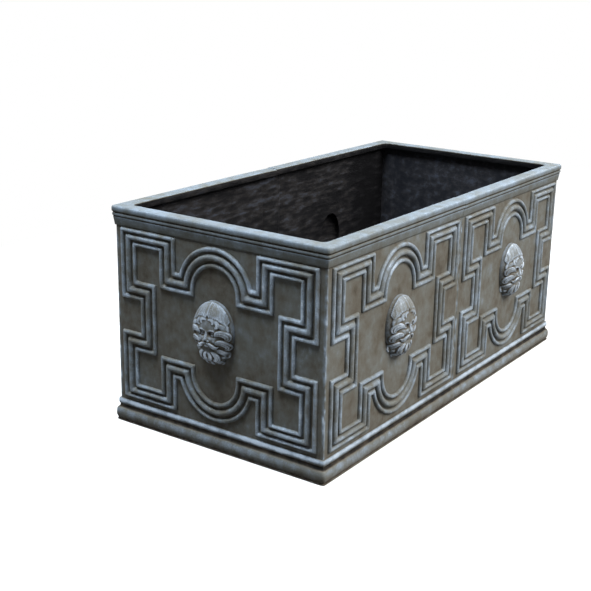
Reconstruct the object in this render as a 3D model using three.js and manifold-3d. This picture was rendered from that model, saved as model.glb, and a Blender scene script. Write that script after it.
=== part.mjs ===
// A rectangular garden trough, moulded in the manner of old lead cisterns. Six square panels, two
// along each side and one at each end, carry the same strapwork of three reeds and a head mask.
// The panels are joined by strips inside, stand on a moulded plinth, are capped by a moulded rim
// stiffened with battens, and hold a drained floor that lies on bearers.
// The trough stands on z = 0, centred, with its long side along x. Lengths are in millimetres.

import * as THREE from "three";
import { mergeVertices } from "three/addons/utils/BufferGeometryUtils.js";
import Module from "manifold-3d";

const wasm = await Module();
wasm.setup();

// ---------------------------------------------------------------------------
// Driving dimensions
// ---------------------------------------------------------------------------

// The body, between the outer faces of opposite panels, and the height to the top of the rim
const BODY_LENGTH = 1000;
const BODY_WIDTH = 500;
const HEIGHT = 450;

// The panels' thickness, and the gap left where two separate pieces meet
const WALL = 7;
const FIT_GAP = 0.3;

// Rim, from the bottom up: a swelling band, a bead, an undercut and an overhanging cap, with an
// inward lip that hides the battens
const RIM_BAND_HEIGHT = 17;
const RIM_BEAD_HEIGHT = 8;
const RIM_UNDERCUT_HEIGHT = 3;
const RIM_CAP_HEIGHT = 11;
const RIM_FOOT_REACH = 1.5;
const RIM_BAND_REACH = 5;
const RIM_BEAD_REACH = 6.4;
const RIM_OVERHANG = 7.5;
const RIM_EDGE = 2.5;
const RIM_TOP_THICKNESS = 5;
const RIM_INWARD = 22;
const RIM_LIP_THICKNESS = 4;
const RIM_LIP_DROP = 14;

// Plinth, from the ground up: a foot, a big round, a neck and a small round
const PLINTH_FOOT_HEIGHT = 4;
const PLINTH_LOWER_HEIGHT = 25;
const PLINTH_NECK_HEIGHT = 6;
const PLINTH_UPPER_HEIGHT = 13;
const PLINTH_FOOT_REACH = 7.5;
const PLINTH_LOWER_ROOT = 6;
const PLINTH_LOWER_REACH = 9.5;
const PLINTH_NECK_REACH = 2;
const PLINTH_UPPER_REACH = 4.5;

// Strapwork: three parallel reeds that stand on the panel and follow one outline
const REED_WIDTH = 8.5;
const REED_HEIGHT = 5.5;
const MIDDLE_REED_WIDTH = 11;
const MIDDLE_REED_HEIGHT = 7;
const REED_SPACING = 15.5;
const REED_SPACING_TOP = 12.75;
const REED_ROOT = 2;
const REED_CREST_SHARE = 0.48;
const STRAP_SIDE_MARGIN = 14.25;
const STRAP_TOP_MARGIN = 1.75;
const STRAP_BOTTOM_MARGIN = 7.75;
const SQUARE_SHARE = 0.46;
const SHOULDER_SHARE = 0.555;
const NOTCH_SHARE = 0.334;
const NECK_WIDTH = 19.4;
const ARCH_CLEARANCE = 15.6;
const ARCH_DROP = 5.7;
const ARCH_STEP = Math.PI / 12;

// Head masks: hollow casts, each over a hole in its panel. The depth is to the tip of the nose.
const MASK_WIDTH = 94;
const MASK_HEIGHT = 126;
const MASK_DEPTH = 34;
const MASK_SHELL = 6;
const MASK_RISE = 8.5;
const HAIR_DEPTH = 24.5;
const FACE_WIDTH = 58;
const FACE_HEIGHT = 88;
const FACE_DEPTH = 30;
const BEARD_WIDTH = 56;
const BEARD_HEIGHT = 50;
const BEARD_DEPTH = 29;
const BEARD_DROP = 33;
const NOSE_WIDTH = 12;
const NOSE_HEIGHT = 25;

// Joint strips, laid over the panels' joints inside
const STRIP_THICKNESS = 3;
const CORNER_STRIP_LEG = 40;
const SEAM_STRIP_WIDTH = 70;

// Floor, the bearers below it and the fillets that bond it to the panels
const FLOOR_THICKNESS = 8;
const BEARER_HEIGHT = 20;
const BEARER_WIDTH = 45;
const BEARER_COUNT = 3;
const BEARER_SPACING = 360;
const FILLET_LEG = 15;
const DRAIN_RADIUS = 16;
const DRAIN_SPACING_X = 360;
const DRAIN_SPACING_Y = 220;

// ---------------------------------------------------------------------------
// Heights and places that follow from them
// ---------------------------------------------------------------------------

const RIM_HEIGHT = RIM_BAND_HEIGHT + RIM_BEAD_HEIGHT + RIM_UNDERCUT_HEIGHT + RIM_CAP_HEIGHT;
const RIM_BOTTOM = HEIGHT - RIM_HEIGHT;
const PLINTH_NECK_BOTTOM = PLINTH_FOOT_HEIGHT + PLINTH_LOWER_HEIGHT;
const PLINTH_UPPER_BOTTOM = PLINTH_NECK_BOTTOM + PLINTH_NECK_HEIGHT;
const PLINTH_HEIGHT = PLINTH_UPPER_BOTTOM + PLINTH_UPPER_HEIGHT;
const PANEL_TOP = HEIGHT - RIM_TOP_THICKNESS - FIT_GAP;
const LIP_BOTTOM = HEIGHT - RIM_LIP_DROP;
const FLOOR_BOTTOM = BEARER_HEIGHT + FIT_GAP;
const FLOOR_TOP = FLOOR_BOTTOM + FLOOR_THICKNESS;
const FILLET_BOTTOM = FLOOR_TOP + FIT_GAP;
const STRIP_BOTTOM = FILLET_BOTTOM + FILLET_LEG + FIT_GAP;
const STRIP_TOP = LIP_BOTTOM - FIT_GAP;
const STRAP_TOP = RIM_BOTTOM - STRAP_TOP_MARGIN;
const STRAP_BOTTOM = PLINTH_HEIGHT + STRAP_BOTTOM_MARGIN;
const STRAP_CENTRE = (STRAP_TOP + STRAP_BOTTOM) / 2;
const STRAP_HALF_HEIGHT = (STRAP_TOP - STRAP_BOTTOM) / 2;
const MASK_CENTRE = STRAP_CENTRE + MASK_RISE;
const INSIDE = -WALL - FIT_GAP;

// ---------------------------------------------------------------------------
// Materials
// ---------------------------------------------------------------------------

const LEAD_GREY = new THREE.MeshStandardMaterial({ color: 0x6b6d6c, roughness: 0.6, metalness: 0.25 });
const MASK_GREY = new THREE.MeshStandardMaterial({ color: 0x747a80, roughness: 0.58, metalness: 0.25 });
const RIM_GREY = new THREE.MeshStandardMaterial({ color: 0x8b959d, roughness: 0.55, metalness: 0.25 });
const PLINTH_GREY = new THREE.MeshStandardMaterial({ color: 0x6f7377, roughness: 0.6, metalness: 0.25 });
const INSIDE_BLACK = new THREE.MeshStandardMaterial({ color: 0x1b1c1f, roughness: 0.85, metalness: 0 });
const TIMBER = new THREE.MeshStandardMaterial({ color: 0x9a7d56, roughness: 0.8, metalness: 0 });

// ---------------------------------------------------------------------------
// Solids: joins and cuts on closed meshes
// ---------------------------------------------------------------------------

// Keeps only the corners of a geometry and merges those that coincide.
function closed(geometry) {
  geometry.deleteAttribute("normal");
  geometry.deleteAttribute("uv");
  return mergeVertices(geometry, 1e-4);
}

function toSolid(geometry) {
  const merged = closed(geometry);
  const vertProperties = Float32Array.from(merged.getAttribute("position").array);
  const triVerts = Uint32Array.from(merged.getIndex().array);
  return new wasm.Manifold(new wasm.Mesh({ numProp: 3, vertProperties, triVerts }));
}

function toGeometry(solid) {
  const cut = solid.getMesh();
  const geometry = new THREE.BufferGeometry();
  geometry.setAttribute("position", new THREE.BufferAttribute(cut.vertProperties, 3));
  geometry.setIndex(new THREE.BufferAttribute(cut.triVerts, 1));
  geometry.computeVertexNormals();
  return geometry;
}

// ---------------------------------------------------------------------------
// Straight mouldings
// ---------------------------------------------------------------------------

// A length of moulding along x, centred on 0. Its section is a list of [outward, height] points,
// and outward is -y. A mitred end follows the corner's diagonal, and a butt end is square.
function moulding(section, length, leftMitred, rightMitred) {
  const outline = new THREE.Shape(section.map(([outward, height]) => new THREE.Vector2(outward, height)));
  const geometry = new THREE.ExtrudeGeometry(outline, { depth: length, bevelEnabled: false });
  const position = geometry.getAttribute("position");
  for (let i = 0; i < position.count; i += 1) {
    const outward = position.getX(i);
    const height = position.getY(i);
    const isLeft = position.getZ(i) > length / 2;
    const isMitred = isLeft ? leftMitred : rightMitred;
    const inset = (FIT_GAP / 2) * (isMitred ? Math.SQRT2 : 1);
    const reach = length / 2 - inset + (isMitred ? outward : 0);
    position.setXYZ(i, isLeft ? -reach : reach, -outward, height);
  }
  return closed(geometry);
}

function rectangleSection(inner, outer, bottom, top) {
  return [[inner, bottom], [outer, bottom], [outer, top], [inner, top]];
}

// Half-round points from the bottom of a round moulding to its top
function roundPoints(root, reach, bottom, height, steps) {
  const points = [];
  for (let i = 0; i <= steps; i += 1) {
    const angle = Math.PI * (i / steps - 0.5);
    const outward = root + (reach - root) * Math.cos(angle);
    points.push([outward, bottom + (height / 2) * (1 + Math.sin(angle))]);
  }
  return points;
}

function rimSection() {
  const bandTop = RIM_BOTTOM + RIM_BAND_HEIGHT;
  const capBottom = HEIGHT - RIM_CAP_HEIGHT;
  const band = [0, 1, 2, 3].map((i) => {
    const swell = Math.sin((i / 3) * (Math.PI / 2));
    const outward = RIM_FOOT_REACH + (RIM_BAND_REACH - RIM_FOOT_REACH) * swell;
    return [outward, RIM_BOTTOM + (i / 3) * RIM_BAND_HEIGHT];
  });
  return [
    [FIT_GAP, RIM_BOTTOM],
    ...band,
    ...roundPoints(RIM_BAND_REACH, RIM_BEAD_REACH, bandTop, RIM_BEAD_HEIGHT, 2).slice(1),
    [RIM_BAND_REACH, capBottom],
    [RIM_OVERHANG, capBottom],
    [RIM_OVERHANG, HEIGHT - RIM_EDGE],
    [RIM_OVERHANG - RIM_EDGE, HEIGHT],
    [RIM_EDGE - RIM_INWARD, HEIGHT],
    [-RIM_INWARD, HEIGHT - RIM_EDGE],
    [-RIM_INWARD, LIP_BOTTOM],
    [RIM_LIP_THICKNESS - RIM_INWARD, LIP_BOTTOM],
    [RIM_LIP_THICKNESS - RIM_INWARD, HEIGHT - RIM_TOP_THICKNESS],
    [FIT_GAP, HEIGHT - RIM_TOP_THICKNESS],
  ];
}

function plinthSection() {
  return [
    [FIT_GAP, 0],
    [PLINTH_FOOT_REACH, 0],
    ...roundPoints(PLINTH_LOWER_ROOT, PLINTH_LOWER_REACH, PLINTH_FOOT_HEIGHT, PLINTH_LOWER_HEIGHT, 6),
    [PLINTH_NECK_REACH, PLINTH_NECK_BOTTOM],
    ...roundPoints(PLINTH_NECK_REACH, PLINTH_UPPER_REACH, PLINTH_UPPER_BOTTOM, PLINTH_UPPER_HEIGHT, 4),
    [FIT_GAP, PLINTH_HEIGHT],
  ];
}

// ---------------------------------------------------------------------------
// Strapwork
// ---------------------------------------------------------------------------

// The centre line of one reed round its panel, as [x, height] points from the strap's centre.
// The rank is 1 for the outer reed, 0 for the middle one and -1 for the inner one. The outline
// has a square at each corner, a notch in each side, and a round arch at the top and bottom.
function reedPath(bayLength, rank) {
  const farMiddle = bayLength / 2 - STRAP_SIDE_MARGIN - REED_WIDTH / 2 - REED_SPACING;
  const topMiddle = STRAP_HALF_HEIGHT - REED_WIDTH / 2 - REED_SPACING_TOP;
  const nearMiddle = farMiddle * (1 - SQUARE_SHARE);
  const notchMiddle = nearMiddle + 2 * REED_SPACING + NECK_WIDTH;
  const archMiddle = nearMiddle - 2 * REED_SPACING - ARCH_CLEARANCE;
  const archCentre = topMiddle - ARCH_DROP - archMiddle;

  const step = rank * REED_SPACING;
  const far = farMiddle + step;
  const top = topMiddle + rank * REED_SPACING_TOP;
  const near = nearMiddle - step;
  const notch = notchMiddle + step;
  const radius = archMiddle + step;
  const shoulder = topMiddle * SHOULDER_SHARE + step;
  const notchHeight = topMiddle * NOTCH_SHARE - step;

  const spring = Math.asin(Math.max(0, (shoulder - archCentre) / radius));
  const arcSteps = Math.ceil((Math.PI / 2 - spring) / ARCH_STEP);
  const quarter = [];
  for (let i = 1; i <= arcSteps; i += 1) {
    const angle = Math.PI / 2 + (spring - Math.PI / 2) * (i / arcSteps);
    quarter.push([radius * Math.cos(angle), archCentre + radius * Math.sin(angle)]);
  }
  if (shoulder < archCentre) {
    quarter.push([radius, shoulder]);
  }
  quarter.push([near, shoulder], [near, top], [far, top], [far, notchHeight], [notch, notchHeight]);

  const crown = archCentre + radius;
  const lowerQuarter = quarter.map(([x, height]) => [x, -height]).reverse();
  const rightHalf = [...quarter, ...lowerQuarter];
  const leftHalf = rightHalf.map(([x, height]) => [-x, height]).reverse();
  return [[0, crown], ...rightHalf, [0, -crown], ...leftHalf];
}

// A closed ring of reed that follows a path with mitred corners. Its section is a low trapezium
// whose foot is rooted in the panel.
function reedRing(path, width, height) {
  const section = [
    [width / 2, REED_ROOT],
    [(width / 2) * REED_CREST_SHARE, -height],
    [(-width / 2) * REED_CREST_SHARE, -height],
    [-width / 2, REED_ROOT],
  ];
  const positions = [];
  path.forEach((point, i) => {
    const before = path[(i + path.length - 1) % path.length];
    const after = path[(i + 1) % path.length];
    const into = new THREE.Vector2(point[0] - before[0], point[1] - before[1]).normalize();
    const out = new THREE.Vector2(after[0] - point[0], after[1] - point[1]).normalize();
    const sideways = new THREE.Vector2(-into.y - out.y, into.x + out.x);
    sideways.divideScalar(1 + into.dot(out));
    for (const [offset, y] of section) {
      positions.push(point[0] + sideways.x * offset, y, point[1] + sideways.y * offset);
    }
  });
  const indices = [];
  const count = section.length;
  for (let i = 0; i < path.length; i += 1) {
    const here = i * count;
    const next = ((i + 1) % path.length) * count;
    for (let j = 0; j < count; j += 1) {
      const k = (j + 1) % count;
      indices.push(here + j, here + k, next + k, here + j, next + k, next + j);
    }
  }
  const geometry = new THREE.BufferGeometry();
  geometry.setAttribute("position", new THREE.Float32BufferAttribute(positions, 3));
  geometry.setIndex(indices);
  return geometry;
}

// ---------------------------------------------------------------------------
// Panels and masks
// ---------------------------------------------------------------------------

// An oval bar through the panel, which makes the hole behind a mask
function maskHole() {
  const oval = new THREE.Shape();
  oval.absellipse(0, 0, MASK_WIDTH / 2 - MASK_SHELL, MASK_HEIGHT / 2 - MASK_SHELL, 0, 2 * Math.PI);
  const geometry = new THREE.ExtrudeGeometry(oval, {
    depth: 4 * WALL,
    bevelEnabled: false,
    curveSegments: 20,
  });
  geometry.rotateX(Math.PI / 2);
  geometry.translate(0, 2 * WALL, MASK_CENTRE);
  return geometry;
}

function panel(bay) {
  const section = rectangleSection(-WALL, 0, 0, PANEL_TOP);
  let solid = toSolid(moulding(section, bay.length, bay.leftMitred, bay.rightMitred));
  for (const rank of [-1, 0, 1]) {
    const width = rank === 0 ? MIDDLE_REED_WIDTH : REED_WIDTH;
    const height = rank === 0 ? MIDDLE_REED_HEIGHT : REED_HEIGHT;
    const ring = reedRing(reedPath(bay.length, rank), width, height);
    ring.translate(0, 0, STRAP_CENTRE);
    solid = solid.add(toSolid(ring));
  }
  return toGeometry(solid.subtract(toSolid(maskHole())));
}

// An ellipsoid on the panel's face, with its middle raised by z. It has twice as many sides
// around as rings down.
function ellipsoid(width, depth, height, z, rings) {
  const geometry = new THREE.SphereGeometry(1, 2 * rings, rings);
  geometry.rotateX(Math.PI / 2);
  geometry.scale(width / 2, depth, height / 2);
  geometry.translate(0, 0, z);
  return toSolid(geometry);
}

// A plain head in relief: a cap of hair, a face, a nose and a beard over a hollow back
function mask() {
  const hair = ellipsoid(MASK_WIDTH, HAIR_DEPTH, MASK_HEIGHT, 0, 8);
  const face = ellipsoid(FACE_WIDTH, FACE_DEPTH, FACE_HEIGHT, 0, 6);
  const beard = ellipsoid(BEARD_WIDTH, BEARD_DEPTH, BEARD_HEIGHT, -BEARD_DROP, 6);
  const nose = ellipsoid(NOSE_WIDTH, MASK_DEPTH, NOSE_HEIGHT, 0, 4);
  const wall = 2 * MASK_SHELL;
  const hollow = ellipsoid(MASK_WIDTH - wall, HAIR_DEPTH - MASK_SHELL, MASK_HEIGHT - wall, 0, 8);
  const front = new THREE.BoxGeometry(2 * MASK_WIDTH, 2 * MASK_DEPTH, 2 * MASK_HEIGHT);
  front.translate(0, -MASK_DEPTH - FIT_GAP, 0);
  const head = hair.add(face).add(beard).add(nose).subtract(hollow);
  return toGeometry(head.intersect(toSolid(front)));
}

// ---------------------------------------------------------------------------
// Floor
// ---------------------------------------------------------------------------

function floorPlate() {
  const halfX = BODY_LENGTH / 2 + INSIDE;
  const halfY = BODY_WIDTH / 2 + INSIDE;
  const outline = new THREE.Shape();
  outline.moveTo(-halfX, -halfY);
  outline.lineTo(halfX, -halfY);
  outline.lineTo(halfX, halfY);
  outline.lineTo(-halfX, halfY);
  outline.closePath();
  for (const x of [-DRAIN_SPACING_X / 2, DRAIN_SPACING_X / 2]) {
    for (const y of [-DRAIN_SPACING_Y / 2, DRAIN_SPACING_Y / 2]) {
      const drain = new THREE.Path();
      drain.absarc(x, y, DRAIN_RADIUS, 0, 2 * Math.PI, true);
      outline.holes.push(drain);
    }
  }
  const geometry = new THREE.ExtrudeGeometry(outline, {
    depth: FLOOR_THICKNESS,
    bevelEnabled: false,
    curveSegments: 10,
  });
  geometry.translate(0, 0, FLOOR_BOTTOM);
  return closed(geometry);
}

function bearer() {
  const length = BODY_WIDTH + 2 * INSIDE;
  const geometry = new THREE.BoxGeometry(BEARER_WIDTH, length, BEARER_HEIGHT);
  geometry.translate(0, 0, BEARER_HEIGHT / 2);
  return geometry;
}

// ---------------------------------------------------------------------------
// Joint strips
// ---------------------------------------------------------------------------

// An angle strip in the corner at -x, -y, seen from above as an L
function cornerStrip() {
  const x = -BODY_LENGTH / 2 - INSIDE;
  const y = -BODY_WIDTH / 2 - INSIDE;
  const outline = new THREE.Shape();
  outline.moveTo(x, y);
  outline.lineTo(x + CORNER_STRIP_LEG, y);
  outline.lineTo(x + CORNER_STRIP_LEG, y + STRIP_THICKNESS);
  outline.lineTo(x + STRIP_THICKNESS, y + STRIP_THICKNESS);
  outline.lineTo(x + STRIP_THICKNESS, y + CORNER_STRIP_LEG);
  outline.lineTo(x, y + CORNER_STRIP_LEG);
  outline.closePath();
  const geometry = new THREE.ExtrudeGeometry(outline, {
    depth: STRIP_TOP - STRIP_BOTTOM,
    bevelEnabled: false,
  });
  geometry.translate(0, 0, STRIP_BOTTOM);
  return closed(geometry);
}

// The same strip turned or mirrored into another corner. A mirrored one has its faces turned back.
function cornerStripAt(signX, signY) {
  const geometry = cornerStrip();
  geometry.scale(-signX, -signY, 1);
  if (signX * signY < 0) {
    const index = geometry.getIndex();
    for (let i = 0; i < index.count; i += 3) {
      const second = index.getX(i + 1);
      index.setX(i + 1, index.getX(i + 2));
      index.setX(i + 2, second);
    }
  }
  return geometry;
}

// ---------------------------------------------------------------------------
// Assembly
// ---------------------------------------------------------------------------

const trough = new THREE.Group();

function place(parent, name, geometry, material) {
  const mesh = new THREE.Mesh(geometry, material);
  mesh.name = name;
  parent.add(mesh);
  return mesh;
}

// Each side is drawn facing -y and turned about z into place. Its bays run from left to right as
// seen from outside.
const LONG_SIDE = { length: BODY_LENGTH, distance: BODY_WIDTH / 2 };
const SHORT_SIDE = { length: BODY_WIDTH, distance: BODY_LENGTH / 2 };
const SIDES = [
  { name: "front", turn: 0, ...LONG_SIDE, bays: ["front_left", "front_right"] },
  { name: "end_right", turn: 1, ...SHORT_SIDE, bays: ["end_right"] },
  { name: "back", turn: 2, ...LONG_SIDE, bays: ["back_right", "back_left"] },
  { name: "end_left", turn: 3, ...SHORT_SIDE, bays: ["end_left"] },
];

for (const side of SIDES) {
  const face = new THREE.Group();
  face.rotation.z = (side.turn * Math.PI) / 2;
  trough.add(face);

  const bayLength = side.length / side.bays.length;
  side.bays.forEach((name, i) => {
    const bay = {
      length: bayLength,
      leftMitred: i === 0,
      rightMitred: i === side.bays.length - 1,
    };
    const stand = new THREE.Group();
    stand.position.set((i + 0.5) * bayLength - side.length / 2, -side.distance, 0);
    face.add(stand);

    const rim = moulding(rimSection(), bay.length, bay.leftMitred, bay.rightMitred);
    const plinth = moulding(plinthSection(), bay.length, bay.leftMitred, bay.rightMitred);
    place(stand, `panel_${name}`, panel(bay), LEAD_GREY);
    place(stand, `rim_${name}`, rim, RIM_GREY);
    place(stand, `plinth_${name}`, plinth, PLINTH_GREY);
    const head = place(stand, `mask_${name}`, mask(), MASK_GREY);
    head.position.z = MASK_CENTRE;
  });

  const edge = new THREE.Group();
  edge.position.y = -side.distance;
  face.add(edge);
  const battenInner = RIM_LIP_THICKNESS + FIT_GAP - RIM_INWARD;
  const battenSection = rectangleSection(battenInner, INSIDE, LIP_BOTTOM, PANEL_TOP);
  place(edge, `rim_batten_${side.name}`, moulding(battenSection, side.length, true, true), TIMBER);
  const filletSection = [
    [INSIDE, FILLET_BOTTOM],
    [INSIDE, FILLET_BOTTOM + FILLET_LEG],
    [INSIDE - FILLET_LEG, FILLET_BOTTOM],
  ];
  place(edge, `floor_fillet_${side.name}`, moulding(filletSection, side.length, true, true), INSIDE_BLACK);

  if (side.bays.length > 1) {
    const stripSection = rectangleSection(INSIDE - STRIP_THICKNESS, INSIDE, STRIP_BOTTOM, STRIP_TOP);
    const strip = moulding(stripSection, SEAM_STRIP_WIDTH, false, false);
    place(edge, `seam_strip_${side.name}`, strip, INSIDE_BLACK);
  }
}

for (const [signX, lengthwise] of [[-1, "left"], [1, "right"]]) {
  for (const [signY, across] of [[-1, "front"], [1, "back"]]) {
    place(trough, `corner_strip_${across}_${lengthwise}`, cornerStripAt(signX, signY), INSIDE_BLACK);
  }
}

place(trough, "floor", floorPlate(), INSIDE_BLACK);
for (let i = 0; i < BEARER_COUNT; i += 1) {
  const mesh = place(trough, `bearer_${i + 1}`, bearer(), TIMBER);
  mesh.position.x = (i - (BEARER_COUNT - 1) / 2) * BEARER_SPACING;
}

export default trough;
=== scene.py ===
import math

import bmesh
import bpy
import numpy as np
from mathutils import Matrix, Vector, noise


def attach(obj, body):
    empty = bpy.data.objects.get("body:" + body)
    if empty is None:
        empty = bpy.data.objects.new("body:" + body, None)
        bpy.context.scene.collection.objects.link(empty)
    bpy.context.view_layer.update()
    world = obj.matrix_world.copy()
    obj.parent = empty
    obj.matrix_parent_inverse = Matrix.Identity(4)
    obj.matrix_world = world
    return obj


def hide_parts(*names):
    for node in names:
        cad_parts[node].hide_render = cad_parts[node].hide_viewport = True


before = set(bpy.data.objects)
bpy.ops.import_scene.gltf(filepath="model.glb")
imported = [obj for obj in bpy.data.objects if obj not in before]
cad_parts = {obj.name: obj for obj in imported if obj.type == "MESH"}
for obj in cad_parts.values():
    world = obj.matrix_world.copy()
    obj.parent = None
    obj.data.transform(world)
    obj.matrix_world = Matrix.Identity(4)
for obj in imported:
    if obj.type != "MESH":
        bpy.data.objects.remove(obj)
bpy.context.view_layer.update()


# ---------------------------------------------------------------------------
# Bearers and battens
# Rough-sawn softwood, brushed with resin. Three bearers lie under the floor, and four battens fill
# the rim's channel. They are straight lengths, so the frame's own shapes stay and get the wood.
# ---------------------------------------------------------------------------

TIMBER_PIECES = ["bearer_1", "bearer_2", "bearer_3", "rim_batten_front", "rim_batten_back"]
TIMBER_PIECES += ["rim_batten_end_left", "rim_batten_end_right"]
TIMBER_DARK = (0.16, 0.095, 0.045)
TIMBER_MIDDLE = (0.34, 0.23, 0.12)
TIMBER_PALE = (0.5, 0.37, 0.22)
TIMBER_ROUGHNESS = 0.75
TIMBER_RELIEF = 0.0006
# Features per metre
RINGS = 60
WOOD_FIBRES = 900


def new_material(name, roughness):
    material = bpy.data.materials.new(name)
    material.use_nodes = True
    shader = material.node_tree.nodes["Principled BSDF"]
    shader.inputs["Roughness"].default_value = roughness
    return material, material.node_tree, shader


def grain(tree, scale, detail, stretch=(1, 1, 1)):
    """A noise fixed to the piece. Scale is in features per metre, and stretch multiplies it by
    axis."""
    where = tree.nodes.new("ShaderNodeTexCoord")
    mapping = tree.nodes.new("ShaderNodeMapping")
    texture = tree.nodes.new("ShaderNodeTexNoise")
    mapping.inputs["Scale"].default_value = stretch
    texture.inputs["Scale"].default_value = scale
    texture.inputs["Detail"].default_value = detail
    tree.links.new(where.outputs["Object"], mapping.inputs["Vector"])
    tree.links.new(mapping.outputs["Vector"], texture.inputs["Vector"])
    return texture.outputs[0]


def maths(tree, operation, *values):
    """One sum on values, each a number or another node's output."""
    node = tree.nodes.new("ShaderNodeMath")
    node.operation = operation
    for socket, value in zip(node.inputs, values):
        if isinstance(value, (int, float)):
            socket.default_value = value
        else:
            tree.links.new(value, socket)
    return node.outputs[0]


def weighted(tree, *parts):
    """Values added up, each with its weight."""
    total = None
    for value, weight in parts:
        part = maths(tree, "MULTIPLY", value, weight)
        total = part if total is None else maths(tree, "ADD", total, part)
    return total


def shades(tree, value, stops):
    """Colours along a value. Each stop is a place from 0 to 1 and a colour."""
    node = tree.nodes.new("ShaderNodeValToRGB")
    ramp = node.color_ramp
    while len(ramp.elements) < len(stops):
        ramp.elements.new(1)
    for element, (place, colour) in zip(ramp.elements, stops):
        element.position = place
        element.color = (*colour, 1)
    tree.links.new(value, node.inputs["Fac"])
    return node.outputs["Color"]


def roughen(tree, shader, height, depth):
    """Bumps a surface by a height from 0 to 1, which stands for depth in metres."""
    node = tree.nodes.new("ShaderNodeBump")
    node.inputs["Distance"].default_value = depth
    tree.links.new(height, node.inputs["Height"])
    tree.links.new(node.outputs["Normal"], shader.inputs["Normal"])


def dress(name, material):
    """Gives a finish to a piece of the frame that stays as it is."""
    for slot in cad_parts[name].material_slots:
        slot.material = material


def timber():
    material, tree, shader = new_material("rough_softwood", TIMBER_ROUGHNESS)
    rings = grain(tree, RINGS, 6, (1, 1, 4))
    fibre = grain(tree, WOOD_FIBRES, 3, (0.3, 0.3, 1))
    tone = weighted(tree, (rings, 0.75), (fibre, 0.25))
    colour = shades(tree, tone, [(0.3, TIMBER_DARK), (0.5, TIMBER_MIDDLE), (0.7, TIMBER_PALE)])
    tree.links.new(colour, shader.inputs["Base Color"])
    roughen(tree, shader, fibre, TIMBER_RELIEF)
    return material


softwood = timber()
for name in TIMBER_PIECES:
    dress(name, softwood)


# ---------------------------------------------------------------------------
# Floor and its fillets
# A flat floor of resin and glass fibre with four drain holes, bonded to the panels all round by
# fillets of filled resin. Everything inside is coated black, brushed on and left rough.
# ---------------------------------------------------------------------------

FLOOR_PIECES = ["floor", "floor_fillet_front", "floor_fillet_back"]
FLOOR_PIECES += ["floor_fillet_end_left", "floor_fillet_end_right"]
BLACK_SHEEN = 0.1
BLACK_DEEP = (0.002, 0.002, 0.0025)
BLACK_BODY = (0.006, 0.006, 0.007)
BLACK_BROWN = (0.015, 0.014, 0.014)
BLACK_DUSTY = (0.035, 0.040, 0.053)
BLACK_ROUGHNESS = (0.4, 0.75)
BLACK_RELIEF = 0.002
BRUSH_ALONG = (1, 1, 4)
# From here to here along the trough, in metres from its middle, the black is painted darker toward
# the ends, as painted shade in the inner corners
CORNER_SHADE_REACH = (0.3, 0.44)
# Features per metre
RESIN_CLOUDS = 7
RESIN_STREAKS = 26
GLASS_FIBRES = 420


def levels(tree, value, low, high, start=0, end=1):
    """Spreads a value from start..end to low..high."""
    node = tree.nodes.new("ShaderNodeMapRange")
    node.inputs["From Min"].default_value = start
    node.inputs["From Max"].default_value = end
    node.inputs["To Min"].default_value = low
    node.inputs["To Max"].default_value = high
    tree.links.new(value, node.inputs["Value"])
    return node.outputs["Result"]


def black_resin(name, stretch, dust, corner_shade=0.0, chalk=0.0):
    """Black brushed resin. Stretch draws its streaks out, dust lightens its high places,
    corner_shade darkens it toward the trough's ends as painted shade in the inner corners, and
    chalk pales it all over."""
    material, tree, shader = new_material(name, BLACK_ROUGHNESS[1])
    cloud = grain(tree, RESIN_CLOUDS, 4)
    streak = grain(tree, RESIN_STREAKS, 7, stretch)
    fibre = grain(tree, GLASS_FIBRES, 4, (1, 1, 1.6))
    tone = weighted(tree, (streak, 0.5), (cloud, 0.25), (fibre, 0.25))
    place = tree.nodes.new("ShaderNodeSeparateXYZ")
    tree.links.new(tree.nodes.new("ShaderNodeTexCoord").outputs["Object"], place.inputs[0])
    # Painted shade: darker toward the trough's ends
    from_middle = maths(tree, "ABSOLUTE", place.outputs["X"])
    tone = maths(tree, "SUBTRACT", tone, levels(tree, from_middle, 0, corner_shade, *CORNER_SHADE_REACH))
    dusty = tuple(part * dust for part in BLACK_DUSTY)
    stops = []
    for at, colour in ((0.38, BLACK_DEEP), (0.48, BLACK_BODY), (0.54, BLACK_BROWN), (0.62, dusty)):
        stops.append((at, tuple(a + chalk * b for a, b in zip(colour, BLACK_DUSTY))))
    tree.links.new(shades(tree, tone, stops), shader.inputs["Base Color"])
    tree.links.new(levels(tree, fibre, *BLACK_ROUGHNESS), shader.inputs["Roughness"])
    shader.inputs["Specular IOR Level"].default_value = BLACK_SHEEN
    roughen(tree, shader, weighted(tree, (streak, 0.7), (fibre, 0.3)), BLACK_RELIEF)
    return material


brushed_black = black_resin("black_resin_brushed", BRUSH_ALONG, dust=0.85, corner_shade=0.14)
for name in FLOOR_PIECES:
    dress(name, brushed_black)


# ---------------------------------------------------------------------------
# Panel faces
# Six square panels from one mould: a lead-coloured face of filled resin with three rounded reeds
# in one closed pattern, its crests rubbed pale and dark wax left beside them. The panels are
# mitred and bonded at the corners, and butted in the middle of the long sides.
# ---------------------------------------------------------------------------

MM = 0.001
PANEL_WIDTH = 500
PANEL_TOP = 444.7
JOINT_GAP = 0.3
FACE_THICKNESS = 5.3
BORDER = 7
EDGE_STEPS = 56
EDGE_ROUNDING = 1.5
EDGE_CHIPS = 0.5
CHIP_LENGTH = 13

# Wear runs from dark wax at 0 through the field to bright rubbed crests at 1, and on the masks and
# the plinth it also carries painted shade and painted highlights
BLACK_COATED = -0.4
GROOVE_WEAR = 0.47
FIELD_WEAR = 0.5
EDGE_WEAR = 0.76
MITRE_WEAR = 0.75
SEAM_WEAR = 0.68
CHIP_WEAR = 0.45

REED_SPACING = 15.5
REED_SPACING_TOP = 12.75
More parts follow.
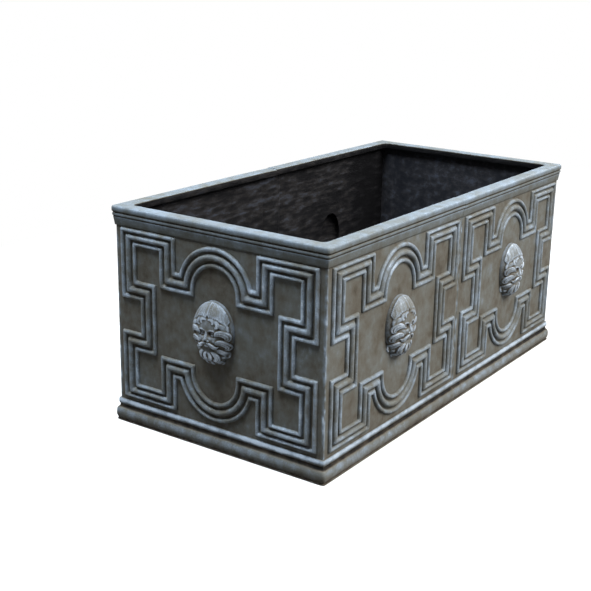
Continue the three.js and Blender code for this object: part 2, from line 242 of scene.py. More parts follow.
# Each reed's place across the strap, width, height, and wear along its crest
REED_SIZES = [(REED_SPACING, 9.2, 5.8, 0.76), (0, 12.4, 7.2, 0.7), (-REED_SPACING, 9.2, 5.8, 0.76)]
REED_STEPS = 10
GROOVE_DEPTH = 0.2
WAX_BAND = 3.2
STRAP_CENTRE = 232.5
STRAP_FAR = 216
STRAP_TOP = 159.75
STRAP_NEAR = 116.6
STRAP_NOTCH = 167
STRAP_SHOULDER = 88.7
STRAP_NOTCH_HEIGHT = 53.4
ARCH_RADIUS = 70
ARCH_CENTRE = 84
ARCH_STEPS = 16
CORNER_SOFTNESS = 2.4
RUN_STEPS = 7
WANDER = 0.45
WANDER_LENGTH = 38

MASK_CENTRE = 241
MASK_HOLE_WIDTH = 82
MASK_HOLE_HEIGHT = 114
HOLE_MARGIN = 3
HOLE_SIDES = 72

# A bay is the space of one panel: quarter turns from the front, place along its side, distance
# of that side from the middle, and whether its left and right ends are mitred.
BAYS = {
    "front_left": (0, -250, 250, True, False),
    "front_right": (0, 250, 250, False, True),
    "end_right": (1, 0, 500, True, True),
    "back_right": (2, -250, 250, True, False),
    "back_left": (2, 250, 250, False, True),
    "end_left": (3, 0, 500, True, True),
}

LEAD_SHEEN = 0.06
LEAD_METAL = 0.3
LEAD_MOTTLE = 1.8
LEAD_NICKS = 0.4
LEAD_RELIEF = 0.001
WAX_ROUGHNESS = 0.85
SHARP_ANGLE = math.radians(42)
# Features per metre
LEAD_CLOUDS = 9
LEAD_BLOTCHES = 42
BRUSH_MARKS = 150
LEAD_SPECKS = 800
WAX_BLACK = (0.007, 0.0068, 0.0066)
WAX_BROWN = (0.043, 0.035, 0.026)
LEAD_FIELD = (0.084, 0.077, 0.063)
LEAD_MIDDLE = (0.107, 0.112, 0.105)
LEAD_RUBBED = (0.166, 0.203, 0.245)
LEAD_BRIGHT = (0.34, 0.40, 0.47)


def bead(root, reach, start, end, steps, dark, pale, painted_top_light=0):
    """A round from start to end that swells from root to reach. Each point is outward, along,
    wear_and_shade, and painted_top_light makes the round paler toward its end and darker toward its
    start: on the plinth, whose rounds rise from start to end, a painted highlight on their tops and
    painted shade under them."""
    points = []
    for i in range(steps + 1):
        angle = math.pi * i / steps
        swell = math.sin(angle)
        along = start + (end - start) * (1 - math.cos(angle)) / 2
        # Painted highlight toward the end and painted shade toward the start, by painted_top_light
        wear_and_shade = dark + (pale - dark) * swell ** 0.6 - painted_top_light * math.cos(angle) * swell
        points.append((root + (reach - root) * swell, along, wear_and_shade))
    return points


def strap_section():
    """The strap's section, from its outer side to its inner side: outward, across, wear."""
    points = [(0, REED_SPACING + REED_SIZES[0][1] / 2 + WAX_BAND, FIELD_WEAR)]
    for middle, width, height, crest in REED_SIZES:
        half = width / 2
        points += bead(0, height, middle + half, middle - half, REED_STEPS, FIELD_WEAR, crest)
        points.append((-GROOVE_DEPTH, middle - REED_SPACING / 2, GROOVE_WEAR))
    points[-1] = (0, -REED_SPACING - REED_SIZES[2][1] / 2 - WAX_BAND, FIELD_WEAR)
    return points


def softened(before, corner, after):
    """Three points that take the sharpness off a corner."""
    reach = min(CORNER_SOFTNESS, 0.4 * (before - corner).length, 0.4 * (after - corner).length)
    start = corner + (before - corner).normalized() * reach
    end = corner + (after - corner).normalized() * reach
    return [start, (start + end + 2 * corner) / 4, end]


def strap_line(across):
    """A quarter of the pattern, from the crown of its arch to the middle of its side, drawn at a
    distance across the strap from the middle reed."""
    rank = across / REED_SPACING
    far = STRAP_FAR + across
    top = STRAP_TOP + rank * REED_SPACING_TOP
    near = STRAP_NEAR - across
    notch = STRAP_NOTCH + across
    radius = ARCH_RADIUS + across
    shoulder = STRAP_SHOULDER + across
    notch_height = STRAP_NOTCH_HEIGHT - across

    spring = math.asin(max(0, (shoulder - ARCH_CENTRE) / radius))
    curve = radius * (math.pi / 2 - spring)
    whole = curve + max(0, ARCH_CENTRE - shoulder)
    arch = []
    for i in range(ARCH_STEPS + 1):
        run = whole * i / ARCH_STEPS
        angle = math.pi / 2 - min(run, curve) / radius
        height = ARCH_CENTRE + radius * math.sin(angle) - max(0, run - curve)
        arch.append(Vector((radius * math.cos(angle), height)))

    ends = arch[-2:] + [Vector((near, shoulder)), Vector((near, top)), Vector((far, top))]
    ends += [Vector((far, notch_height)), Vector((notch, notch_height)), Vector((notch, 0))]
    turns = [softened(*three) for three in zip(ends, ends[1:], ends[2:])]
    line = arch[:-1]
    for turn, following in zip(turns, [turn[0] for turn in turns[1:]] + [ends[-1]]):
        line += turn
        line += [turn[-1].lerp(following, i / RUN_STEPS) for i in range(1, RUN_STEPS)]
    return line + [ends[-1]]


def new_solid():
    """An empty shape whose corners know their number in a section and their wear, with any painted
    light and shade.
    """
    bm = bmesh.new()
    bm.verts.layers.int.new("number")
    bm.verts.layers.int.new("ring")
    bm.verts.layers.float.new("wear_and_shade")
    return bm


def start_line(bm, points, wear_and_shade, is_closed):
    """The first line of edges of a swept shape."""
    number = bm.verts.layers.int["number"]
    worn_and_shaded = bm.verts.layers.float["wear_and_shade"]
    corners = [bm.verts.new(point) for point in points]
    for i, corner in enumerate(corners):
        corner[number] = i
        corner[worn_and_shaded] = wear_and_shade[i]
    edges = [bm.edges.new(pair) for pair in zip(corners, corners[1:])]
    if is_closed:
        edges.append(bm.edges.new((corners[-1], corners[0])))
    return edges


def carry_line(bm, edges, points, wear_and_shade, ring):
    """Extrudes a line of edges to new points, and gives back the new line."""
    number = bm.verts.layers.int["number"]
    rings = bm.verts.layers.int["ring"]
    worn_and_shaded = bm.verts.layers.float["wear_and_shade"]
    made = bmesh.ops.extrude_edge_only(bm, edges=edges)["geom"]
    corners = {v for v in made if isinstance(v, bmesh.types.BMVert)}
    for corner in corners:
        corner.co = points[corner[number]]
        corner[worn_and_shaded] = wear_and_shade[corner[number]]
        corner[rings] = ring
    return [e for e in made if isinstance(e, bmesh.types.BMEdge) and set(e.verts) <= corners]


def wander(point, seed, length):
    """A small smooth drift of a hand-made surface, from -1 to 1."""
    return noise.noise(Vector(point) / length + Vector((seed, 2.3 * seed, 0.7 * seed)))


def end_at(is_mitred, outward):
    """How far a piece of a bay reaches from the bay's middle."""
    return PANEL_WIDTH / 2 - JOINT_GAP / 2 + (outward if is_mitred else 0)


def oval(bm, y, width, height):
    """A closed oval line, upright at a depth y behind the panel's face."""
    upright = Matrix.Translation((0, y, MASK_CENTRE)) @ Matrix.Rotation(math.pi / 2, 4, "X")
    sized = upright @ Matrix.Diagonal((width / 2, height / 2, 1, 1))
    made = bmesh.ops.create_circle(bm, segments=HOLE_SIDES, radius=1, matrix=sized)
    return list({e for v in made["verts"] for e in v.link_edges})


def frame_line(bm, bay, y, inset=0):
    """A closed line round a panel's edge, or inset from it, at a depth y behind its face. Its
    uprights are cut into short lengths, so that they can be rubbed unevenly."""
    left, right = inset - end_at(bay[3], -y), end_at(bay[4], -y) - inset
    low, high = inset, PANEL_TOP - inset
    steps = [low + (high - low) * i / EDGE_STEPS for i in range(EDGE_STEPS + 1)]
    places = [(right, z) for z in steps] + [(left, z) for z in reversed(steps)]
    corners = [bm.verts.new((x, y, z)) for x, z in places]
    return [bm.edges.new((corners[i - 1], corners[i])) for i in range(len(corners))]


def panel_face(bay, seed):
    bm = new_solid()
    section = strap_section()
    lines = [strap_line(across) for outward, across, wear_and_shade in section]
    rows = [[(p.x, -outward, p.y) for p in line] for line, (outward, _, _) in zip(lines, section)]
    wears = [[wear_and_shade] * len(lines[0]) for _, _, wear_and_shade in section]
    edges = start_line(bm, rows[0], wears[0], False)
    for ring in range(1, len(rows)):
        edges = carry_line(bm, edges, rows[ring], wears[ring], ring)
    for axis in ("X", "Z"):
        quarter = bm.verts[:] + bm.edges[:] + bm.faces[:]
        bmesh.ops.mirror(bm, geom=quarter, merge_dist=0.001, axis=axis)
    bmesh.ops.translate(bm, verts=bm.verts, vec=(0, 0, STRAP_CENTRE))

    rings = bm.verts.layers.int["ring"]
    worn_and_shaded = bm.verts.layers.float["wear_and_shade"]
    loose = [e for e in bm.edges if e.is_boundary]
    outer = [e for e in loose if e.verts[0][rings] == 0]
    inner = [e for e in loose if e.verts[0][rings] == len(rows) - 1]
    for v in bm.verts:
        share = max(0, -v.co.y) / REED_SIZES[1][2]
        drift = [WANDER * wander(v.co, seed + part, WANDER_LENGTH) for part in (0, 10, 20)]
        v.co += Vector((drift[0], 0.6 * share * drift[1], drift[2])) * min(1, 3 * share)
    reeds = set(bm.verts)

    border = frame_line(bm, bay, 0, BORDER)
    front = frame_line(bm, bay, 0)
    back = frame_line(bm, bay, FACE_THICKNESS)
    seat = oval(bm, 0, MASK_HOLE_WIDTH + 2 * HOLE_MARGIN, MASK_HOLE_HEIGHT + 2 * HOLE_MARGIN)
    hole = oval(bm, 0, MASK_HOLE_WIDTH, MASK_HOLE_HEIGHT)
    hole_back = oval(bm, FACE_THICKNESS, MASK_HOLE_WIDTH, MASK_HOLE_HEIGHT)
    bmesh.ops.triangle_fill(bm, edges=outer + border, use_beauty=True, normal=(0, -1, 0))
    bmesh.ops.bridge_loops(bm, edges=border + front)
    bmesh.ops.triangle_fill(bm, edges=inner + seat, use_beauty=True, normal=(0, -1, 0))
    bmesh.ops.bridge_loops(bm, edges=seat + hole)
    bmesh.ops.triangle_fill(bm, edges=back + hole_back, use_beauty=True, normal=(0, 1, 0))
    bmesh.ops.bridge_loops(bm, edges=front + back)
    bmesh.ops.bridge_loops(bm, edges=hole + hole_back)
    for v in bm.verts:
        if v not in reeds:
            v[worn_and_shaded] = FIELD_WEAR
    for edges, wear_and_shade in ((front, EDGE_WEAR), (hole, BLACK_COATED), (hole_back, BLACK_COATED)):
        for v in {v for e in edges for v in e.verts}:
            v[worn_and_shaded] = wear_and_shade
    bmesh.ops.recalc_face_normals(bm, faces=bm.faces)

    at_edge = {v for v in bm.verts if abs(v.co.x) > PANEL_WIDTH / 2 - 1 and abs(v.co.y) < 0.01}
    upright = [e for e in bm.edges if at_edge.issuperset(e.verts)]
    soft = bmesh.ops.bevel(bm, geom=upright, offset=EDGE_ROUNDING, segments=3, profile=0.5,
                           affect="EDGES", material=-1)
    for v in soft["verts"]:
        chip = wander((seed, math.copysign(40, v.co.x), v.co.z), seed, CHIP_LENGTH)
        is_mitred = bay[3] if v.co.x < 0 else bay[4]
        v[worn_and_shaded] = (MITRE_WEAR if is_mitred else SEAM_WEAR) + CHIP_WEAR * chip
        v.co.x -= math.copysign(EDGE_CHIPS * max(0, -chip), v.co.x)
        v.co.y += EDGE_CHIPS * max(0, -chip)
    return bm


def lead(name, cast, gloss, mottling=LEAD_MOTTLE):
    """Lead-coloured resin, after the wear of its surface, read from the wear_and_shade attribute,
    which on the masks and the plinth also holds painted shade and painted highlights. Cast
    multiplies the colours, gloss is the roughness of the crests, and mottling is how far the colour
    varies from place to place."""
    material, tree, shader = new_material(name, gloss)
    attribute = tree.nodes.new("ShaderNodeAttribute")
    attribute.attribute_name = "wear_and_shade"
    wear_and_shade = attribute.outputs["Fac"]
    cloud = grain(tree, LEAD_CLOUDS, 5)
    blotch = grain(tree, LEAD_BLOTCHES, 6)
    brush = grain(tree, BRUSH_MARKS, 5, (1, 1, 0.5))
    speck = grain(tree, LEAD_SPECKS, 3)
    mottle = weighted(tree, (cloud, 0.3), (blotch, 0.32), (brush, 0.13), (speck, 0.25))
    uneven = maths(tree, "MULTIPLY", maths(tree, "SUBTRACT", mottle, 0.5), mottling)
    nick = maths(tree, "MULTIPLY", wear_and_shade, levels(tree, speck, 0, LEAD_NICKS, 0.64, 0.76))
    tone = maths(tree, "ADD", wear_and_shade, maths(tree, "ADD", uneven, nick))
    stops = [(0.02, WAX_BLACK), (0.24, WAX_BROWN), (0.44, LEAD_FIELD), (0.64, LEAD_MIDDLE)]
    stops += [(0.85, LEAD_RUBBED), (1.0, LEAD_BRIGHT)]
    stops = [(place, tuple(a * b for a, b in zip(colour, cast))) for place, colour in stops]
    tree.links.new(shades(tree, tone, stops), shader.inputs["Base Color"])
    roughness = levels(tree, tone, WAX_ROUGHNESS, gloss, BLACK_COATED)
    tree.links.new(roughness, shader.inputs["Roughness"])
    tree.links.new(levels(tree, tone, 0, LEAD_METAL, 0.6, 0.95), shader.inputs["Metallic"])
    shader.inputs["Specular IOR Level"].default_value = LEAD_SHEEN
    height = weighted(tree, (blotch, 0.6), (speck, 0.25), (brush, 0.15))
    roughen(tree, shader, height, LEAD_RELIEF)
    return material


def finish(bm, name, material, replaced, bay=None, coat=None):
    """Makes a finished shape a piece. A shape drawn at its bay's middle, facing -y and in
    millimetres, goes to its place in metres. Its black-coated faces take the coat."""
    if coat:
        worn_and_shaded = bm.verts.layers.float["wear_and_shade"]
        for face in bm.faces:
            face.material_index = int(all(v[worn_and_shaded] < 0 for v in face.verts))
    if bay is not None:
        bmesh.ops.translate(bm, verts=bm.verts, vec=(bay[1], -bay[2], 0))
        turn = Matrix.Rotation(bay[0] * math.pi / 2, 3, "Z")
        bmesh.ops.rotate(bm, verts=bm.verts, cent=(0, 0, 0), matrix=turn)
    bmesh.ops.scale(bm, verts=bm.verts, vec=(MM, MM, MM))
    for face in bm.faces:
        face.smooth = True
    mesh = bpy.data.meshes.new(name)
    bm.to_mesh(mesh)
    bm.free()
    mesh.set_sharp_from_angle(angle=SHARP_ANGLE)
    mesh.materials.append(material)
    if coat:
        mesh.materials.append(coat)
    piece = bpy.data.objects.new(name, mesh)
    bpy.context.scene.collection.objects.link(piece)
    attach(piece, "root")
    if replaced:
        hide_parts(replaced)
    return piece


panel_lead = lead("lead_effect_panel", (1, 1, 1), 0.44)
for seed, (name, bay) in enumerate(BAYS.items()):
    face = panel_face(bay, seed + 1)
    finish(face, "face_" + name, panel_lead, "panel_" + name, bay)


# ---------------------------------------------------------------------------
# Panel backs
# The glass-fibre laminate behind each face: laid up and brushed by hand in black resin, so it is
# uneven, with streaks along the wall. It is pierced behind each mask.
# ---------------------------------------------------------------------------

WALL = 7
LAMINATE_STEP = 6
LAMINATE_UNEVENNESS = 0.9
LAMINATE_OUTER = FACE_THICKNESS + 0.1
LAMINATE_INNER = WALL - 0.05
STREAK_LENGTH = 90
STREAK_HEIGHT = 16
LUMP_SIZE = 11


def panel_back(bay, seed):
    bm = bmesh.new()
    across = round(PANEL_WIDTH / LAMINATE_STEP)
    up = round(PANEL_TOP / LAMINATE_STEP)
    placed = Matrix.Translation((0, LAMINATE_OUTER, PANEL_TOP / 2))
    upright = placed @ Matrix.Rotation(math.pi / 2, 4, "X")
    sized = upright @ Matrix.Diagonal((PANEL_WIDTH / 2 - 1, PANEL_TOP / 2, 1, 1))
    bmesh.ops.create_grid(bm, x_segments=across, y_segments=up, size=1, matrix=sized)

    half_width, half_height = MASK_HOLE_WIDTH / 2, MASK_HOLE_HEIGHT / 2

    def from_hole(point):
        return math.hypot(point.x / half_width, (point.z - MASK_CENTRE) / half_height)

    inside = [f for f in bm.faces if from_hole(f.calc_center_median()) < 1]
    bmesh.ops.delete(bm, geom=inside, context="FACES")
    for v in bm.verts:
        share = from_hole(v.co)
        if v.is_boundary and share < 1.4:
            v.co.x /= share
            v.co.z = MASK_CENTRE + (v.co.z - MASK_CENTRE) / share

    made = bmesh.ops.extrude_face_region(bm, geom=bm.faces[:])["geom"]
    for v in made:
        if isinstance(v, bmesh.types.BMVert):
            streak = wander((v.co.x / STREAK_LENGTH, 0, v.co.z / STREAK_HEIGHT), seed, 1)
            lump = wander((v.co.x, 0, v.co.z), seed + 5, LUMP_SIZE)
            v.co.y = LAMINATE_INNER - LAMINATE_UNEVENNESS * (0.5 + 0.3 * streak + 0.2 * lump)
    for v in bm.verts:
        if abs(v.co.x) > PANEL_WIDTH / 2 - 1.5:
            is_mitred = bay[3] if v.co.x < 0 else bay[4]
            v.co.x = math.copysign(end_at(is_mitred, -v.co.y), v.co.x)
    bmesh.ops.recalc_face_normals(bm, faces=bm.faces)
    return bm


rough_black = black_resin("black_resin_rough", (1.8, 1.8, 2.2), dust=0.85, chalk=0.19)
for seed, (name, bay) in enumerate(BAYS.items()):
    back = panel_back(bay, seed + 40)
    coat = brushed_black if bay[0] in (0, 2) else rough_black
    finish(back, "laminate_" + name, coat, None, bay)


# ---------------------------------------------------------------------------
# Joint strips
# Glass-fibre tape laid in resin over each corner and over the seam in the middle of each long
# side. The tape is thin at its edges, where it was dabbed down, so the edges wander.
# ---------------------------------------------------------------------------

STRIP_BOTTOM = 43.9
STRIP_TOP = 435.7
STRIP_THICKNESS = 3
STRIP_EDGE = -0.1
TAPE_SUNK = 1.3
STRIP_STEP = 9
EDGE_RAGS = 14
THICKNESS_RAGS = 20
CORNER_LEG = 40
SEAM_WIDTH = 69.7
BODY_LENGTH = 1000
BODY_WIDTH = 500


def lofted(sections, wear_and_shade):
    """A closed body through a row of sections that have as many corners each."""
    bm = new_solid()
    edges = start_line(bm, sections[0], wear_and_shade, True)
    for ring, section in enumerate(sections[1:], 1):
        edges = carry_line(bm, edges, section, wear_and_shade, ring)
    bmesh.ops.holes_fill(bm, edges=[e for e in bm.edges if e.is_boundary])
    bmesh.ops.recalc_face_normals(bm, faces=bm.faces)
    return bm


def strip_heights():
    count = round((STRIP_TOP - STRIP_BOTTOM) / STRIP_STEP)
    return [STRIP_BOTTOM + (STRIP_TOP - STRIP_BOTTOM) * i / count for i in range(count + 1)]


def corner_tape(side_x, side_y, seed):
    """An angle of tape in the corner on the side_x, side_y sides, as signs."""
    origin_x = BODY_LENGTH / 2 - WALL - JOINT_GAP
    origin_y = BODY_WIDTH / 2 - WALL - JOINT_GAP
    sections = []
    for z in strip_heights():
        one = CORNER_LEG * (0.93 + 0.07 * wander((z, 0, 0), seed, EDGE_RAGS))
        other = CORNER_LEG * (0.93 + 0.07 * wander((z, 0, 0), seed + 3, EDGE_RAGS))
        thick = STRIP_THICKNESS * (0.9 + 0.1 * wander((z, 0, 0), seed + 6, THICKNESS_RAGS))
        outline = [(-TAPE_SUNK, -TAPE_SUNK), (one, -TAPE_SUNK), (one * 0.9, STRIP_EDGE)]
        outline += [(one * 0.6, thick * 0.8), (thick * 2.6, thick), (thick * 1.35, thick * 1.35)]
        outline += [(thick, thick * 2.6), (thick * 0.8, other * 0.6), (STRIP_EDGE, other * 0.9)]
        outline += [(-TAPE_SUNK, other)]
        sections.append([(side_x * (origin_x - a), side_y * (origin_y - b), z) for a, b in outline])
    return lofted(sections, [0.5] * len(sections[0]))


def seam_tape(seed):
    """A flat length of tape over the seam, drawn as at the middle of the front."""
    near = WALL + JOINT_GAP
    sections = []
    for z in strip_heights():
        left = SEAM_WIDTH / 2 * (0.94 + 0.06 * wander((z, 0, 0), seed, EDGE_RAGS))
        right = SEAM_WIDTH / 2 * (0.94 + 0.06 * wander((z, 0, 0), seed + 3, EDGE_RAGS))
        outline = [(-left, -TAPE_SUNK), (right, -TAPE_SUNK), (right * 0.93, STRIP_EDGE)]
        outline += [(right * 0.7, STRIP_THICKNESS * 0.75), (0, STRIP_THICKNESS * 0.95)]
        outline += [(-left * 0.7, STRIP_THICKNESS * 0.75), (-left * 0.93, STRIP_EDGE)]
        sections.append([(x, near + depth, z) for x, depth in outline])
    return lofted(sections, [0.5] * len(sections[0]))


# The darkest black: the wet resin of the tapes, and painted shade on the rim's inner lip
wet_black_and_lip_shade = black_resin("black_resin_wet_and_lip_shade", BRUSH_ALONG, dust=0.3, corner_shade=0.12)
for seed, (end, side_x) in enumerate((("left", -1), ("right", 1))):
    for side, side_y in (("front", -1), ("back", 1)):
        name = side + "_" + end
        tape = corner_tape(side_x, side_y, 60 + 7 * seed + side_y)
        laid = finish(tape, "corner_tape_" + name, wet_black_and_lip_shade,
                      "corner_strip_" + name)
        # The leg on the end wall is brushed like that wall
        laid.data.materials.append(rough_black)
        for face in laid.data.polygons:
            if abs(face.normal.x) > abs(face.normal.y):
                face.material_index = 1
for side, turns in (("front", 0), ("back", 2)):
    tape = seam_tape(80 + turns)
    middle_of_side = (turns, 0, BODY_WIDTH / 2)
    finish(tape, "seam_tape_" + side, brushed_black, "seam_strip_" + side,
           middle_of_side)


# ---------------------------------------------------------------------------
# Masks
# Six casts of one head in filled resin, hollow and black behind, bonded over the panels' holes.
# Combed hair ends in a thick edge, and broad waves hang in tiers into a waved beard. The face is a
# plain calm one, set out by thirds: hairline, brow, foot of the nose, chin.
# ---------------------------------------------------------------------------

MASK_WIDTH = 94
MASK_HEIGHT = 126
MASK_DEPTH = 34
MASK_SEAT = 0.3
MASK_SHELL = 6
HOLLOW_DEPTH = 18
SCULPT_STEP = 0.75
LOCK_SIDES = 8
LOCK_STEPS = 24
CAVITY_PASSES = 70
# The masks' colour follows how far each place stands out: wax left in the hollows, with painted
# shade in them and a painted highlight on the high places
MASK_WEAR = 0.69
WEAR_AND_SHADE_PER_MM = 0.42
MASK_WEAR_AND_SHADE_RANGE = (0.02, 0.92)

# The plain masses of the head: its middle's height, half width, half height, depth
SKULL = (5, 46.5, 57.5, 28.5)
FACE = (-3, 27, 41, 30.5)
JAW = (-31, 32, 31, 26)

BROW = 10
NOSE_FOOT = -10
CHIN = -30
MOUTH = NOSE_FOOT + (CHIN - NOSE_FOOT) / 3
# Balls of clay, one on each side: place across, depth and up, then half width, depth and height
CHEEK = (14.5, 18, -8, 8.5, 9, 8)
EYE = (11, 19.4, 4.5, 6, 6, 5.4)
NOSTRIL = (4.5, 28.2, NOSE_FOOT + 1.8, 3, 3.6, 2.7)
# The socket round an eye: half width, half height and depth
SOCKET = (7.6, 5.6, 7)
# The lids: how far each rises above the eye's middle, and its thickness
LIDS = [(3.4, 1.25), (-2.3, 1.0)]
LID_STEPS = 8
# Round ridges of clay: place across, depth, up, and thickness
NOSE = [(0, 25.2, BROW + 1, 3.4), (0, 26.9, BROW - 4, 3.2), (0, 28.3, BROW - 9, 3.4),
        (0, 29.6, NOSE_FOOT + 5.2, 4.2), (0, 29.2, NOSE_FOOT + 2.6, 3.6)]
UPPER_LIP = [(0, 28.9, MOUTH + 1.0, 1.3), (2.5, 28.8, MOUTH + 1.6, 1.5),
             (8, 26.0, MOUTH + 0.1, 0.6)]
LOWER_LIP = [(0, 28.4, MOUTH - 2.2, 2.0), (3.5, 28.0, MOUTH - 2.0, 1.8),
             (7.5, 25.8, MOUTH - 0.6, 0.6)]
MOUSTACHE = [(0.8, 29.4, NOSE_FOOT - 2.8, 1.2), (4, 29.6, NOSE_FOOT - 3.2, 2.0),
             (8, 29, NOSE_FOOT - 4.6, 2.7), (12.5, 27.4, NOSE_FOOT - 7.2, 2.8),
             (17, 25, NOSE_FOOT - 10, 2.5), (21.5, 22.6, NOSE_FOOT - 10.5, 1.9),
             (24.5, 21.6, NOSE_FOOT - 8, 1.1)]
UNDER_LOCK_SIZES = [0.9, 2.1, 2.1, 1.1]
# The ridge of a brow, which lies on the masses: place across, up, and thickness
BROW_RIDGE = [(3.5, BROW - 1, 1.6), (8, BROW + 1.2, 2.6), (14, BROW + 1.6, 2.6),
              (19.5, BROW - 1.5, 1.4)]

# The crown's locks run from an arc near the top of the head to the edge of the hair. Each arc is
# its spread in degrees each side, half width, the height of its middle, and its rise
CROWN_LOCKS = 31
CROWN_TOP = (62, 44.5, 5, 55.5)
CROWN_EDGE = (98, 41, 11, 23)

# A wave of hair one unit long, from the face outward
WAVE_LINE = [(0, -0.1), (0.14, 0.08), (0.38, 0.2), (0.64, 0.21), (0.86, 0.1), (0.95, -0.1),
             (0.86, -0.28), (0.68, -0.34)]
# Its three locks, as shares of its length: how far apart they lie, how high they rise from how
# deep, how much lower the outer two are, and their thickness at the ends and at the most
WAVE_SPACING = 0.14
WAVE_RISE = 0.13
WAVE_SUNK = 0.07
WAVE_FALL = 0.02
WAVE_THIN = 0.025
WAVE_THICK = 0.11
# The waves on one half of the head: where each starts across and up, its length, and how many
# degrees it hangs down
WAVES = [(2, 31, 13, 10), (11, 30.5, 15, 32), (20, 22, 17, 20), (17.5, 5, 24, 3),
         (17.5, -13, 23.5, 8), (15, -29, 22, 26), (9.5, -31, 20, 62), (1.5, -32, 15, 80),
         (10, -45, 15, 50), (2.5, -47, 12, 76)]


def depth_at(x, z):
    """How far the plain masses of the head stand out at a place on its front."""
    depth = 0
    for middle, half_width, half_height, reach in (SKULL, FACE, JAW):
        rest = 1 - (x / half_width) ** 2 - ((z - middle) / half_height) ** 2
        depth = max(depth, reach * math.sqrt(max(0, rest)))
    return depth


def add_ball(bm, x, depth, z, half_width, half_depth, half_height):
    placed = Matrix.Translation((x, -depth, z))
    sized = placed @ Matrix.Diagonal((half_width, half_depth, half_height, 1))
    bmesh.ops.create_icosphere(bm, subdivisions=4, radius=1, matrix=sized)


def add_lock(bm, points, thickness):
    """A lock of hair, or any round ridge, along points of x, depth and z."""
    line = [Vector((x, -depth, z)) for x, depth, z in points]
    sections = []
    for i, point in enumerate(line):
        along = (line[min(i + 1, len(line) - 1)] - line[max(i - 1, 0)]).normalized()
        side = along.cross(Vector((0, -1, 0))).normalized()
        out = side.cross(along)
        angles = [2 * math.pi * k / LOCK_SIDES for k in range(LOCK_SIDES)]
        spokes = [side * math.cos(angle) + out * math.sin(angle) for angle in angles]
        sections.append([point + thickness[i] * spoke for spoke in spokes])
    lock = lofted(sections, [0] * LOCK_SIDES)
    mesh = bpy.data.meshes.new("lock")
    lock.to_mesh(mesh)
    lock.free()
    bm.from_mesh(mesh)
    bpy.data.meshes.remove(mesh)


def add_ridge(bm, points, side=1):
    """A round ridge through points of x, depth, z and thickness, on one side of the face."""
    places = [(side * x, depth, z) for x, depth, z, _ in points]
    add_lock(bm, places, [point[3] for point in points])


def curve_through(places, steps):
    """Evenly numbered points on a smooth curve through places."""
    ends = [2 * places[0] - places[1]] + places + [2 * places[-1] - places[-2]]
    points = []
    for i in range(steps):
        run = i * (len(places) - 1) / (steps - 1)
        k = min(int(run), len(places) - 2)
        t = run - k
        a, b, c, d = ends[k:k + 4]
        bend = 2 * a - 5 * b + 4 * c - d + t * (3 * (b - c) + d - a)
        points.append(b + 0.5 * t * (c - a + t * bend))
    return points


def add_wave(bm, side, x, z, length, hang):
    """A broad wave of three locks side by side. It swells outward, and its tip turns back in."""
    turn = Matrix.Rotation(-math.radians(hang), 2)
    places = [Vector((x, z)) + turn @ Vector(place) * length for place in WAVE_LINE]
    line = curve_through(places, LOCK_STEPS)
    for rank in (-1, 0, 1):
        points, thick = [], []
        for i, place in enumerate(line):
            along = (line[min(i + 1, len(line) - 1)] - line[max(i - 1, 0)]).normalized()
            swell = math.sin(math.pi * (0.03 + 0.92 * i / (len(line) - 1))) ** 0.7
            off = place + Vector((-along.y, along.x)) * rank * WAVE_SPACING * length * swell
            lift = (WAVE_RISE * swell - WAVE_SUNK) * length - WAVE_FALL * length * abs(rank)
            points.append((side * off.x, depth_at(off.x, off.y) + lift, off.y))
            thick.append(length * (WAVE_THIN + WAVE_THICK * swell))
        add_lock(bm, points, thick)


def add_strand(bm, start, end, bow, thin, thick):
    """A combed lock that lies on the head from start to end, bowed sideways and thickening."""
    line = Vector(end) - Vector(start)
    side = Vector((-line.y, line.x)).normalized()
    points, sizes = [], []
    for i in range(LOCK_STEPS):
        share = i / (LOCK_STEPS - 1)
        place = Vector(start) + line * share + side * bow * math.sin(math.pi * share)
        size = thin + (thick - thin) * share
        sizes.append(size * min(1, 4.5 * (1 - share) + 0.45))
        points.append((place.x, depth_at(place.x, place.y) - 0.35 * size, place.y))
    add_lock(bm, points, sizes)


def loose_object(name, bm):
    """An object for a shape that is only used in the making."""
    mesh = bpy.data.meshes.new(name)
    bm.to_mesh(mesh)
    bm.free()
    item = bpy.data.objects.new(name, mesh)
    bpy.context.scene.collection.objects.link(item)
    return item


def worked(item, spent):
    """The shape that an object's modifiers give. The spent objects are cleared away."""
    worked_item = item.evaluated_get(bpy.context.evaluated_depsgraph_get())
    mesh = bpy.data.meshes.new_from_object(worked_item)
    for each in spent:
        old = each.data
        bpy.data.objects.remove(each)
        bpy.data.meshes.remove(old)
    bm = bmesh.new()
    bm.from_mesh(mesh)
    bpy.data.meshes.remove(mesh)
    return bm


def remeshed(bm):
    """Joins overlapping solids into one even skin."""
    lump = loose_object("sculpt", bm)
    skin = lump.modifiers.new("skin", "REMESH")
    skin.mode = "VOXEL"
    skin.voxel_size = SCULPT_STEP
    return worked(lump, [lump])


def ease(bm):
    bmesh.ops.smooth_vert(bm, verts=bm.verts, factor=0.5, use_axis_x=True, use_axis_y=True,
                          use_axis_z=True)


def model_masses():
    """The plain masses with the brows, the cheeks and the sockets of the eyes."""
    bm = bmesh.new()
    for middle, half_width, half_height, reach in (SKULL, FACE, JAW):
        add_ball(bm, 0, 0, middle, half_width, reach, half_height)
    for side in (-1, 1):
        add_ball(bm, side * CHEEK[0], *CHEEK[1:])
        brow = [(side * x, depth_at(x, z) - 0.7, z) for x, z, _ in BROW_RIDGE]
        add_lock(bm, brow, [point[2] for point in BROW_RIDGE])
    bm = remeshed(bm)
    half_width, half_height, depth = SOCKET
    for v in bm.verts:
        for side in (-1, 1):
            across = (v.co.x - side * EYE[0]) / half_width
            away = math.hypot(across, (v.co.z - EYE[2]) / half_height)
            if v.co.y < -12:
                v.co.y += depth * math.exp(-(away ** 2.6))
    ease(bm)
    return bm


